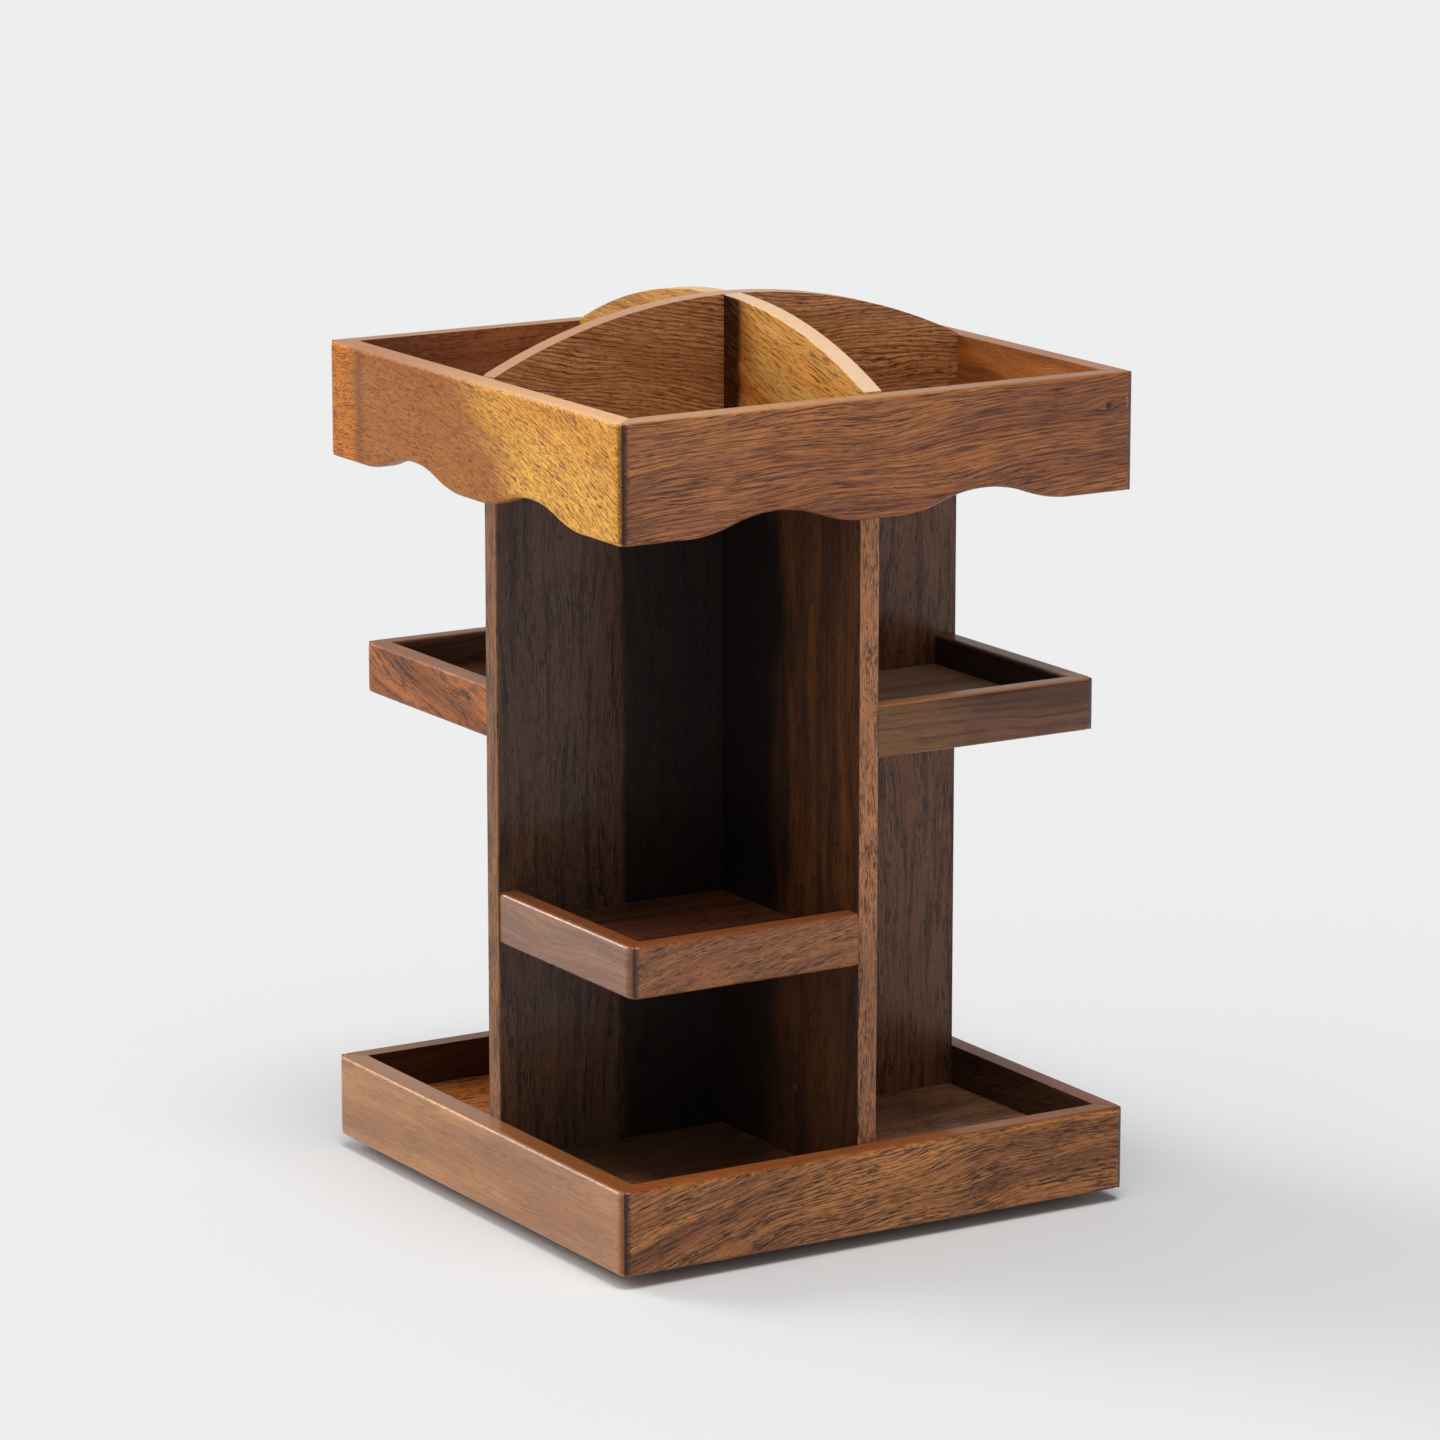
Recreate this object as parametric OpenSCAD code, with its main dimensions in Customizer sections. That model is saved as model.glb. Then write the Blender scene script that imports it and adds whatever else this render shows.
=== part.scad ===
// Rotating desk organizer: two square hardwood trays joined by a cross-shaped column,
// four corner shelves, arched dividers in the top tray, and a ball-bearing swivel
// between the base tray and a round foot disc.
// Millimetres, +Z up, origin on the ground at the centre of the foot.
// The front is -Y and the right-hand side is +X.

/* [Trays] */
// Outer width of the square base and top trays
tray_w = 223; // [200:1:240]
// Thickness of the tray and shelf rails
rail_t = 9; // [8:0.5:10]
// Thickness of the column panels and dividers
board_t = 8; // [7:0.5:9]
// Thickness of every tray and shelf floor
floor_t = 6; // [5:0.5:6.5]
// Radius of the upright outer corners of the trays and shelves
corner_r = 4.8; // [1:0.1:5.5]

/* [Base tray] */
// Height of the base tray's rails
base_rail_h = 32.5; // [28:0.5:40]
// Height of the base floor's top above the rails' lower edge
base_floor_top = 17; // [16:0.5:19]
// Clearance between the base rails and the ground
ground_gap = 5; // [4:0.5:8]

/* [Top tray] */
// Height of the top tray's rim above the ground
rim_z = 322; // [300:1:340]
// Depth of the rails below the rim at the corners and at the middle
apron_depth = 45; // [43:0.5:50]
// Rise of each arch cut into a rail's lower edge
arch_rise = 7; // [4:0.5:8]
// Half the width of each arch
arch_half_w = 38; // [34:1:42]
// Distance from a rail's middle to the middle of each arch
arch_x = 45; // [43:1:48]
// Depth of the top floor's upper face below the rim
top_floor_depth = 30; // [26:0.5:30]

/* [Dividers] */
// Height of the dividers' crest above the rim
crest_rise = 24; // [15:0.5:30]
// Height of the dividers' ends above the rim
end_rise = 0.6; // [0:0.1:3]
// Sideways shift of each short divider from the middle of the long one
divider_shift = 0.8; // [0:0.1:2]

/* [Shelves] */
// Height of each shelf's rails
shelf_rail_h = 20; // [18:0.5:24]
// Height of a shelf floor's upper face above its rails' lower edge
shelf_floor_top = 8.5; // [8:0.5:10]
// Setback of the shelf rails from the ends of the column panels
shelf_setback = 0.5; // [0.3:0.1:2]
// Height of the two low shelves' rims above the ground
low_shelf_rim = 126.5; // [110:0.5:135]
// Height of the two high shelves' rims above the ground
high_shelf_rim = 204.5; // [195:0.5:220]

/* [Foot] */
// Diameter of the foot disc
foot_d = 150; // [145:1:160]
// Thickness of the foot disc
foot_t = 6.5; // [6:0.1:6.5]
// Number of rubber pads under the foot disc
pad_count = 6; // [4:1:8]
// Diameter of each rubber pad
pad_d = 14; // [10:1:16]

/* [Swivel bearing] */
// Width of the bearing's square plates
plate_w = 100; // [98:1:104]
// Thickness of the bearing's sheet steel
sheet_t = 1.4; // [1.2:0.1:1.5]
// Overall height of the bearing
bearing_h = 8; // [8:0.1:8.2]
// Diameter of the bearing balls
ball_d = 5; // [4.6:0.1:5]
// Number of bearing balls
ball_count = 20; // [12:1:24]
// Radius of the circle through the balls' centres
ball_pitch_r = 34; // [33:0.5:35]

/* [Hidden] */
$fn = 96;

// A little extra on cutting tools, so that they pass right through
cut = 1;
// Running clearance between the bearing's hub and the upper plate
run_gap = 0.06;
// Clearance around each screw and brad
pin_gap = 0.05;

// Half widths and heights that the modules share
half_w = tray_w / 2;
inner_w = half_w - rail_t;
half_t = board_t / 2;
floor_top_z = ground_gap + base_floor_top;
floor_under_z = floor_top_z - floor_t;
bearing_z = floor_under_z - bearing_h;
foot_z = bearing_z - foot_t;
top_floor_z = rim_z - top_floor_depth;
column_top_z = top_floor_z - floor_t;
column_h = column_top_z - floor_top_z;
shelf_reach = inner_w - shelf_setback;
shelf_inner = shelf_reach - rail_t;

// Radius of the arc over a divider, from its half chord and its rise over the ends
arc_rise = crest_rise - end_rise;
arc_r = (inner_w * inner_w + arc_rise * arc_rise) / (2 * arc_rise);

// Each arch is an S-curve on both sides, made of equal tangent arcs
arch_r = (arch_half_w * arch_half_w + arch_rise * arch_rise) / (4 * arch_rise);

// Swivel bearing: the lower plate's hub carries a hook that overlaps the upper plate's lip
hub_r = 20;
hub_wall = 3;
hook_w = 4;
hook_gap = 0.4;
bearing_top_z = bearing_z + bearing_h;
hook_z = bearing_top_z - 2 * hook_gap - sheet_t;
lip_z = hook_z - hook_gap - sheet_t;
step_r = hub_r + hook_w + 2 * hook_gap;

// Ball races, balls and cage
race_half_w = 4.5;
race_h = 1;
race_gap = 0.1;
cage_half_w = 4;
cage_t = 0.8;
ball_gap = 0.06;
ball_z = bearing_z + bearing_h / 2;

// Screws and brads
screw_head_d = 7.4;
screw_head_h = 1.7;
screw_shank_d = 3.4;
plate_hole_d = 4.2;
plate_hole_xy = plate_w / 2 - 8;
plate_corner_r = 6;
access_hole_d = 12;
pad_edge = 3;
pad_ring_r = foot_d / 2 - pad_d / 2 - pad_edge;
pad_turn = 15;
plate_screw_depth = 4.6;
column_screw_d = 3.2;
column_screw_depth = 22;
column_head_d = 6.4;
column_head_h = 3;
column_screw_at = [0.36, 0.8];
recess_w = 3.4;
recess_t = 0.8;
recess_depth = 1.1;
brad_d = 1.2;
brad_l = 25;
brad_set = 1;

// --- Shared shapes ---------------------------------------------------------

// Square outline of width w with corners of radius r
module rounded_square(w, r) {
    square([w - 2 * r, w], center = true);
    square([w, w - 2 * r], center = true);
    for (x = [-1, 1], y = [-1, 1])
        translate([x * (w / 2 - r), y * (w / 2 - r)])
            circle(r);
}

// Plan of the front rail of a square tray, mitred at both ends
module rail_plan() {
    intersection() {
        rounded_square(tray_w, corner_r);
        polygon([[-half_w, -half_w], [half_w, -half_w], [inner_w, -inner_w], [-inner_w, -inner_w]]);
    }
}

// One rail of the base tray, turned to its side of the square
module base_rail(turn) {
    rotate([0, 0, turn])
        translate([0, 0, ground_gap])
            linear_extrude(base_rail_h)
                rail_plan();
}

// The space under one arch, in the rail's own plane, with its base on the rail's lower edge
module arch_space() {
    difference() {
        union() {
            polygon([[-arch_half_w, -cut], [arch_half_w, -cut], [arch_half_w, 0],
                     [arch_half_w / 2, arch_rise / 2], [-arch_half_w / 2, arch_rise / 2],
                     [-arch_half_w, 0]]);
            intersection() {
                translate([0, arch_rise - arch_r])
                    circle(arch_r, $fn = 360);
                translate([-arch_half_w / 2, arch_rise / 2 - cut])
                    square([arch_half_w, arch_rise]);
            }
        }
        for (side = [-1, 1])
            translate([side * arch_half_w, arch_r])
                circle(arch_r, $fn = 360);
    }
}

// One scalloped rail of the top tray, turned to its side of the square
module top_rail(turn) {
    rotate([0, 0, turn])
        difference() {
            translate([0, 0, rim_z - apron_depth])
                linear_extrude(apron_depth)
                    rail_plan();
            for (side = [-1, 1])
                translate([side * arch_x, -inner_w + cut, rim_z - apron_depth])
                    rotate([90, 0, 0])
                        linear_extrude(rail_t + 2 * cut)
                            arch_space();
        }
}

// A divider's upright face: a board from x0 to x1 under the arc that is centred on x = 0
module divider_face(x0, x1) {
    intersection() {
        translate([x0, top_floor_z])
            square([x1 - x0, top_floor_depth + crest_rise]);
        translate([0, rim_z + crest_rise - arc_r])
            circle(arc_r, $fn = 720);
    }
}

// One column panel that stands on the base floor, from x0 to x1 and y0 to y1
module column_panel(x0, x1, y0, y1) {
    translate([x0, y0, floor_top_z])
        cube([x1 - x0, y1 - y0, column_h]);
}

// Mirrors its children from the front left quarter into another quarter
module in_quarter(x, y) {
    mirror([x > 0 ? 1 : 0, 0, 0])
        mirror([0, y > 0 ? 1 : 0, 0])
            children();
}

// Shelf rail along X, closing the shelf's outer long side, mitred at the corner
module shelf_cross_rail(x, y, rim) {
    in_quarter(x, y)
        translate([0, 0, rim - shelf_rail_h])
            linear_extrude(shelf_rail_h)
                intersection() {
                    rounded_square(2 * shelf_reach, corner_r);
                    polygon([[-shelf_reach, -shelf_reach], [-half_t, -shelf_reach],
                             [-half_t, -shelf_inner], [-shelf_inner, -shelf_inner]]);
                }
}

// Shelf rail along Y, closing the shelf's side, mitred at the corner
module shelf_side_rail(x, y, rim) {
    in_quarter(x, y)
        translate([0, 0, rim - shelf_rail_h])
            linear_extrude(shelf_rail_h)
                intersection() {
                    rounded_square(2 * shelf_reach, corner_r);
                    polygon([[-shelf_reach, -shelf_reach], [-shelf_inner, -shelf_inner],
                             [-shelf_inner, -half_t], [-shelf_reach, -half_t]]);
                }
}

// Shelf floor between the two rails and the two column panels, bored for its brads
module shelf_floor(x, y, rim) {
    difference() {
        in_quarter(x, y)
            translate([-shelf_inner, -shelf_inner, rim - shelf_rail_h + shelf_floor_top - floor_t])
                cube([shelf_inner - half_t, shelf_inner - half_t, floor_t]);
        brads_of_shelf(x, y, rim, brad_d / 2 + pin_gap);
    }
}

// Height of a shelf floor's brads, at the middle of its thickness
function brad_z(rim) = rim - shelf_rail_h + shelf_floor_top - floor_t / 2;

// Height of the rim in one quarter: the front left and back right shelves are the low ones
function quarter_rim(x, y) = x * y > 0 ? low_shelf_rim : high_shelf_rim;

// The brads of one shelf, set in the long panel and driven into the edge of its floor
module brads_of_shelf(x, y, rim, r) {
    for (i = [1, 2])
        translate([x * i * shelf_inner / 3, -y * (half_t - brad_set), brad_z(rim)])
            rotate([-90 * y, 0, 0])
                cylinder(h = brad_l, r = r);
}

// Places of the column's screws: one in the middle and two in each arm that is named by its turn
module at_column_screws(turns) {
    children();
    for (turn = turns, i = column_screw_at)
        rotate([0, 0, turn])
            translate([i * inner_w, 0, 0])
                children();
}

// Cross recess sunk from z = 0 into a screw's head
module cross_recess() {
    for (turn = [0, 90])
        rotate([0, 0, turn])
            translate([-recess_w / 2, -recess_t / 2, -cut])
                cube([recess_w, recess_t, recess_depth + cut]);
}

// A countersunk wood screw with its head's flat face at z = 0, pointing up; a grown one cuts its hole
module column_screw(grow) {
    difference() {
        union() {
            cylinder(h = column_screw_depth, r = column_screw_d / 2 + grow);
            cylinder(h = column_head_h, r1 = column_head_d / 2 + grow, r2 = column_screw_d / 2 + grow);
        }
        if (grow == 0)
            cross_recess();
    }
}

// All screws that come up through the base floor into the column
module lower_column_screws(grow) {
    translate([0, 0, floor_under_z])
        at_column_screws([0, 90, 180, 270])
            column_screw(grow);
}

// All screws that go down through the top floor into the long panel, under the long divider
module upper_column_screws(grow) {
    translate([0, 0, top_floor_z])
        mirror([0, 0, 1])
            at_column_screws([0, 180])
                column_screw(grow);
}

// The headless brads that pin both short dividers to the long one, right through its middle
module brads_of_dividers(r) {
    for (h = [0.35, 0.8])
        translate([0, -brad_l / 2, top_floor_z + h * top_floor_depth])
            rotate([-90, 0, 0])
                cylinder(h = brad_l, r = r);
}

// --- Swivel bearing --------------------------------------------------------

// Square sheet plate with rounded corners, screw holes and an open centre
module plate_blank(centre_r, z) {
    translate([0, 0, z])
        linear_extrude(sheet_t)
            difference() {
                rounded_square(plate_w, plate_corner_r);
                circle(centre_r);
                for (x = [-1, 1], y = [-1, 1])
                    translate([x * plate_hole_xy, y * plate_hole_xy])
                        circle(d = plate_hole_d);
            }
}

// Ring with a rounded groove for the balls; up = 1 opens it upwards
module race(z, up) {
    difference() {
        translate([0, 0, z])
            rotate_extrude()
                translate([ball_pitch_r - race_half_w, up > 0 ? 0 : -race_h])
                    square([2 * race_half_w, race_h]);
        translate([0, 0, ball_z])
            rotate_extrude()
                translate([ball_pitch_r, 0])
                    circle(ball_d / 2 + race_gap);
    }
}

// Four screws with their pan heads against a plate's inner face at height z
module plate_screws(z, down, grow) {
    for (x = [-1, 1], y = [-1, 1])
        translate([x * plate_hole_xy, y * plate_hole_xy, z])
            mirror([0, 0, down ? 1 : 0]) {
                cylinder(h = plate_screw_depth + sheet_t, r = screw_shank_d / 2 + grow);
                translate([0, 0, -screw_head_h])
                    difference() {
                        cylinder(h = screw_head_h, r = screw_head_d / 2);
                        cross_recess();
                    }
            }
}

// The lower plate's screws; that plate is turned by 45 degrees, so that its corners clear the upper ones
module lower_screws(grow) {
    rotate([0, 0, 45])
        plate_screws(bearing_z + sheet_t, true, grow);
}

// The upper plate's screws
module upper_screws(grow) {
    plate_screws(bearing_top_z - sheet_t, false, grow);
}

module foot_disc() {
    color("sienna")
        difference() {
            translate([0, 0, foot_z])
                cylinder(h = foot_t, d = foot_d, $fn = 180);
            translate([plate_hole_xy, plate_hole_xy, foot_z - cut])
                cylinder(h = foot_t + 2 * cut, d = access_hole_d);
            lower_screws(pin_gap);
        }
}

module rubber_pads() {
    color("black")
        for (i = [0 : pad_count - 1])
            rotate([0, 0, pad_turn + i * 360 / pad_count])
                translate([pad_ring_r, 0, 0])
                    cylinder(h = foot_z, d = pad_d);
}

// The lower plate's hub passes through the upper plate and is flared over its lip
module bearing_lower_plate() {
    color("lightsteelblue") {
        rotate([0, 0, 45])
            plate_blank(hub_r - hub_wall / 2, bearing_z);
        race(bearing_z + sheet_t, 1);
        rotate_extrude()
            translate([hub_r - hub_wall, bearing_z])
                square([hub_wall, hook_z + sheet_t - bearing_z]);
        rotate_extrude()
            translate([hub_r - hub_wall, hook_z])
                square([hub_wall + hook_w, sheet_t]);
    }
}

module lower_plate_screws() {
    color("silver") lower_screws(0);
}

module bearing_cage() {
    color("ivory")
        difference() {
            translate([0, 0, ball_z - cage_t / 2])
                linear_extrude(cage_t)
                    difference() {
                        circle(ball_pitch_r + cage_half_w);
                        circle(ball_pitch_r - cage_half_w);
                    }
            for (i = [0 : ball_count - 1])
                rotate([0, 0, i * 360 / ball_count])
                    translate([ball_pitch_r, 0, bearing_z])
                        cylinder(h = bearing_h, r = ball_d / 2 + ball_gap);
        }
}

module bearing_balls() {
    color("gainsboro")
        for (i = [0 : ball_count - 1])
            rotate([0, 0, i * 360 / ball_count])
                translate([ball_pitch_r, 0, ball_z])
                    sphere(d = ball_d);
}

// The upper plate is stepped down at its centre into a lip that turns round the hub
module bearing_upper_plate() {
    color("lightsteelblue") {
        plate_blank(step_r, bearing_top_z - sheet_t);
        race(bearing_top_z - sheet_t, 0);
        rotate_extrude()
            translate([step_r, lip_z])
                square([sheet_t, bearing_top_z - lip_z]);
        rotate_extrude()
            translate([hub_r + run_gap, lip_z])
                square([step_r - hub_r - run_gap + sheet_t / 2, sheet_t]);
    }
}

module upper_plate_screws() {
    color("silver") upper_screws(0);
}

// --- Base tray -------------------------------------------------------------

module base_front_rail() {
    color("peru") base_rail(0);
}

module base_right_rail() {
    color("peru") base_rail(90);
}

module base_back_rail() {
    color("peru") base_rail(180);
}

module base_left_rail() {
    color("peru") base_rail(270);
}

module base_floor() {
    color("saddlebrown")
        difference() {
            translate([-inner_w, -inner_w, floor_under_z])
                cube([2 * inner_w, 2 * inner_w, floor_t]);
            upper_screws(pin_gap);
            lower_column_screws(pin_gap);
        }
}

// --- Column ----------------------------------------------------------------

module column_main_panel() {
    color("#4a2d1f")
        difference() {
            column_panel(-inner_w, inner_w, -half_t, half_t);
            lower_column_screws(pin_gap);
            upper_column_screws(pin_gap);
            for (x = [-1, 1], y = [-1, 1])
                brads_of_shelf(x, y, quarter_rim(x, y), brad_d / 2 + pin_gap);
        }
}

module column_front_panel() {
    color("#5a3624")
        difference() {
            column_panel(-half_t, half_t, -inner_w, -half_t);
            lower_column_screws(pin_gap);
        }
}

module column_back_panel() {
    color("#5a3624")
        difference() {
            column_panel(-half_t, half_t, half_t, inner_w);
            lower_column_screws(pin_gap);
        }
}

module column_lower_screws() {
    color("silver") lower_column_screws(0);
}

module column_upper_screws() {
    color("silver") upper_column_screws(0);
}

// --- Shelves ---------------------------------------------------------------

module front_left_shelf_front_rail() {
    color("#8b5a3c") shelf_cross_rail(-1, -1, low_shelf_rim);
}

module front_left_shelf_side_rail() {
    color("#8b5a3c") shelf_side_rail(-1, -1, low_shelf_rim);
}

module front_left_shelf_floor() {
    color("#7a4528") shelf_floor(-1, -1, low_shelf_rim);
}

module front_right_shelf_front_rail() {
    color("#6b4630") shelf_cross_rail(1, -1, high_shelf_rim);
}

module front_right_shelf_side_rail() {
    color("#6b4630") shelf_side_rail(1, -1, high_shelf_rim);
}

module front_right_shelf_floor() {
    color("#5c3826") shelf_floor(1, -1, high_shelf_rim);
}

module back_right_shelf_back_rail() {
    color("#8b5a3c") shelf_cross_rail(1, 1, low_shelf_rim);
}

module back_right_shelf_side_rail() {
    color("#8b5a3c") shelf_side_rail(1, 1, low_shelf_rim);
}

module back_right_shelf_floor() {
    color("#7a4528") shelf_floor(1, 1, low_shelf_rim);
}

module back_left_shelf_back_rail() {
    color("#96592e") shelf_cross_rail(-1, 1, high_shelf_rim);
}

module back_left_shelf_side_rail() {
    color("#96592e") shelf_side_rail(-1, 1, high_shelf_rim);
}

module back_left_shelf_floor() {
    color("#5c3826") shelf_floor(-1, 1, high_shelf_rim);
}

module shelf_brads() {
    color("silver")
        for (x = [-1, 1], y = [-1, 1])
            brads_of_shelf(x, y, quarter_rim(x, y), brad_d / 2);
}

// --- Top tray --------------------------------------------------------------

module top_front_rail() {
    color("#a5673a") top_rail(0);
}

module top_right_rail() {
    color("#a5673a") top_rail(90);
}

module top_back_rail() {
    color("#a5673a") top_rail(180);
}

module top_left_rail() {
    color("#c07f3c") top_rail(270);
}

module top_floor() {
    color("saddlebrown")
        difference() {
            translate([-inner_w, -inner_w, column_top_z])
                cube([2 * inner_w, 2 * inner_w, floor_t]);
            upper_column_screws(pin_gap);
        }
}

module long_divider() {
    color("#9a6238")
        difference() {
            translate([0, half_t, 0])
                rotate([90, 0, 0])
                    linear_extrude(board_t)
                        divider_face(-inner_w, inner_w);
            brads_of_dividers(brad_d / 2 + pin_gap);
        }
}

module front_divider() {
    color("#b9783a")
        difference() {
            translate([divider_shift - half_t, 0, 0])
                rotate([90, 0, 90])
                    linear_extrude(board_t)
                        divider_face(-inner_w, -half_t);
            brads_of_dividers(brad_d / 2 + pin_gap);
        }
}

module back_divider() {
    color("#b9783a")
        difference() {
            translate([-divider_shift - half_t, 0, 0])
                rotate([90, 0, 90])
                    linear_extrude(board_t)
                        divider_face(half_t, inner_w);
            brads_of_dividers(brad_d / 2 + pin_gap);
        }
}

module divider_brads() {
    color("silver") brads_of_dividers(brad_d / 2);
}

foot_disc();
rubber_pads();
bearing_lower_plate();
lower_plate_screws();
bearing_cage();
bearing_balls();
bearing_upper_plate();
upper_plate_screws();
base_front_rail();
base_right_rail();
base_back_rail();
base_left_rail();
base_floor();
column_main_panel();
column_front_panel();
column_back_panel();
column_lower_screws();
column_upper_screws();
front_left_shelf_front_rail();
front_left_shelf_side_rail();
front_left_shelf_floor();
front_right_shelf_front_rail();
front_right_shelf_side_rail();
front_right_shelf_floor();
back_right_shelf_back_rail();
back_right_shelf_side_rail();
back_right_shelf_floor();
back_left_shelf_back_rail();
back_left_shelf_side_rail();
back_left_shelf_floor();
shelf_brads();
top_front_rail();
top_right_rail();
top_back_rail();
top_left_rail();
top_floor();
long_divider();
front_divider();
back_divider();
divider_brads();
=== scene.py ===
import math

import bpy
from mathutils import Matrix, Vector


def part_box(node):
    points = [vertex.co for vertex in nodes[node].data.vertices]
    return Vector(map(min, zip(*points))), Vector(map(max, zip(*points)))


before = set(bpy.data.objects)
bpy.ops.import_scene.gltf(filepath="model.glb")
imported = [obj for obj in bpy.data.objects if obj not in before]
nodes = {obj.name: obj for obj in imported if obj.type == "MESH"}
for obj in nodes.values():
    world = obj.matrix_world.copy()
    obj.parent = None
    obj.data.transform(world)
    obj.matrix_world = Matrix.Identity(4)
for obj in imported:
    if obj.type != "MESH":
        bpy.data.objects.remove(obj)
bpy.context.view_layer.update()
scene = bpy.context.scene
MM = 0.001

# --- Camera -----------------------------------------------------------------

AZIMUTH = -31.23
ELEVATION = 12.54
DISTANCE = 2.398
FOCAL_PX = 6243
FRAME_PX = 1440
AIM = Vector((0, 0, 0.159))
SLIDE_RIGHT = -0.0021
SLIDE_UP = 0.02097


def camera():
    """A long lens at the left front, a little above the organizer."""
    a = math.radians(AZIMUTH)
    e = math.radians(ELEVATION)
    back = Vector((math.sin(a) * math.cos(e), -math.cos(a) * math.cos(e), math.sin(e)))
    right = Vector((math.cos(a), math.sin(a), 0))
    up = back.cross(right)
    data = bpy.data.cameras.new("camera")
    data.sensor_width = 36
    data.lens = data.sensor_width * FOCAL_PX / FRAME_PX
    shooter = bpy.data.objects.new("camera", data)
    shooter.matrix_world = Matrix((right, up, back)).transposed().to_4x4()
    shooter.location = AIM + back * DISTANCE + right * SLIDE_RIGHT + up * SLIDE_UP
    scene.collection.objects.link(shooter)
    scene.camera = shooter


# --- Light and floor --------------------------------------------------------

# Each sun's power, angular size, heading and height
SUNS = {
    "overhead": (1.8, 28, 285, 76),
    "key": (1.15, 26, 152, 28),
    "fill": (0.2, 90, 290, 25),
}
# The room's walls and ceiling: from a height to a height, from a strength to a strength
ROOM_LIGHT = (0.2, 0.5, 0.6, 0.12)
# The window's heading and height, and its glow: where it starts, where it is full, and its strengths
WINDOW = (176, 35)
WINDOW_LIGHT = (0.3, 0.95, 0.0, 0.55)
FLOOR_COLOUR = (0.763, 0.766, 0.77, 1)
FLOOR_SIZE = 30


def direction(heading, height):
    """A unit vector. The heading counts degrees counterclockwise from the camera's right."""
    a = math.radians(AZIMUTH + heading)
    h = math.radians(height)
    return Vector((math.cos(a) * math.cos(h), math.sin(a) * math.cos(h), math.sin(h)))


def sun(name, energy, angle, heading, height):
    """A soft distant light."""
    data = bpy.data.lights.new(name, "SUN")
    data.energy = energy
    data.angle = math.radians(angle)
    lamp = bpy.data.objects.new(name, data)
    lamp.rotation_euler = direction(heading, height).to_track_quat("Z", "Y").to_euler()
    scene.collection.objects.link(lamp)


def studio():
    """A white room with a wide soft window of light on the left and a large lamp above."""
    scene.view_settings.view_transform = "Standard"
    room = Graph("studio", bpy.data.worlds)
    way = room.add("TexCoord").outputs["Generated"]
    height = room.add("SeparateXYZ", Vector=way).outputs[2]
    toward = room.add("VectorMath", Vector=way)
    toward.operation = "DOT_PRODUCT"
    toward.inputs[1].default_value = direction(*WINDOW)
    glow = room.smooth(toward.outputs["Value"], *WINDOW_LIGHT)
    room.feed(room.shader.inputs["Strength"], room.total(room.smooth(height, *ROOM_LIGHT), glow))
    room.shader.inputs["Color"].default_value = (1, 1, 1, 1)
    scene.world = room.material
    for name, look in SUNS.items():
        sun(name, *look)


def floor():
    """A wide pale floor that isn't part of the object."""
    g = Graph("floor")
    g.shader.inputs["Base Color"].default_value = FLOOR_COLOUR
    g.shader.inputs["Roughness"].default_value = 0.8
    bpy.ops.mesh.primitive_plane_add(size=FLOOR_SIZE)
    ground = bpy.context.object
    ground.name = "floor"
    ground.data.materials.append(g.material)


# --- Shader graph helpers ---------------------------------------------------


def linear(code):
    """An RGBA colour from an sRGB hex code."""
    channels = [int(code[i : i + 2], 16) / 255 for i in (0, 2, 4)]
    return [c / 12.92 if c <= 0.04045 else ((c + 0.055) / 1.055) ** 2.4 for c in channels] + [1]


class Graph:
    """Short calls that add shader nodes to a new material. An input is a number, a colour or another
    node's output."""

    def __init__(self, name, kind=None):
        self.material = (bpy.data.materials if kind is None else kind).new(name)
        self.material.use_nodes = True
        self.tree = self.material.node_tree
        self.shader = self.tree.nodes.get("Principled BSDF") or self.tree.nodes["Background"]

    def feed(self, socket, value):
        if isinstance(value, bpy.types.NodeSocket):
            self.tree.links.new(value, socket)
        else:
            socket.default_value = value

    def add(self, kind, **inputs):
        node = self.tree.nodes.new("ShaderNode" + kind)
        for key, value in inputs.items():
            self.feed(node.inputs[key], value)
        return node

    def calc(self, operation, a, b=0.0, c=0.0):
        node = self.tree.nodes.new("ShaderNodeMath")
        node.operation = operation
        for socket, value in zip(node.inputs, (a, b, c)):
            self.feed(socket, value)
        return node.outputs[0]

    def combine(self, x, y, z):
        return self.add("CombineXYZ", X=x, Y=y, Z=z).outputs[0]

    def product(self, *factors):
        result = factors[0]
        for factor in factors[1:]:
            result = self.calc("MULTIPLY", result, factor)
        return result

    def total(self, *terms):
        result = terms[0]
        for term in terms[1:]:
            result = self.calc("ADD", result, term)
        return result

    def smooth(self, value, low, high, to_low=0.0, to_high=1.0):
        node = self.tree.nodes.new("ShaderNodeMapRange")
        node.interpolation_type = "SMOOTHSTEP"
        for socket, given in zip(node.inputs, (value, low, high, to_low, to_high)):
            self.feed(socket, given)
        return node.outputs[0]

    def mix(self, factor, a, b):
        node = self.tree.nodes.new("ShaderNodeMix")
        node.data_type = "RGBA"
        for place, value in ((0, factor), (6, a), (7, b)):
            self.feed(node.inputs[place], value)
        return node.outputs[2]

    def stretched(self, cells, detail=2.0, roughness=0.5):
        """Noise with a number of cells per metre along each of the object's axes."""
        place = self.add("Mapping", Vector=self.add("TexCoord").outputs["Object"], Scale=cells)
        return self.noise(place.outputs[0], detail, roughness)

    def facing(self, axis):
        """How far the surface faces along one of the object's axes, from -1 to 1."""
        split = self.add("SeparateXYZ", Vector=self.add("TexCoord").outputs["Normal"])
        return split.outputs["xyz".index(axis)]

    def noise(self, vector, detail=2.0, roughness=0.5):
        return self.add("TexNoise", Vector=vector, Detail=detail, Roughness=roughness, Scale=1.0).outputs[0]

    def bump(self, height, distance):
        return self.add("Bump", Height=height, Distance=distance, Strength=1.0).outputs[0]


# --- Wood -------------------------------------------------------------------

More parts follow.
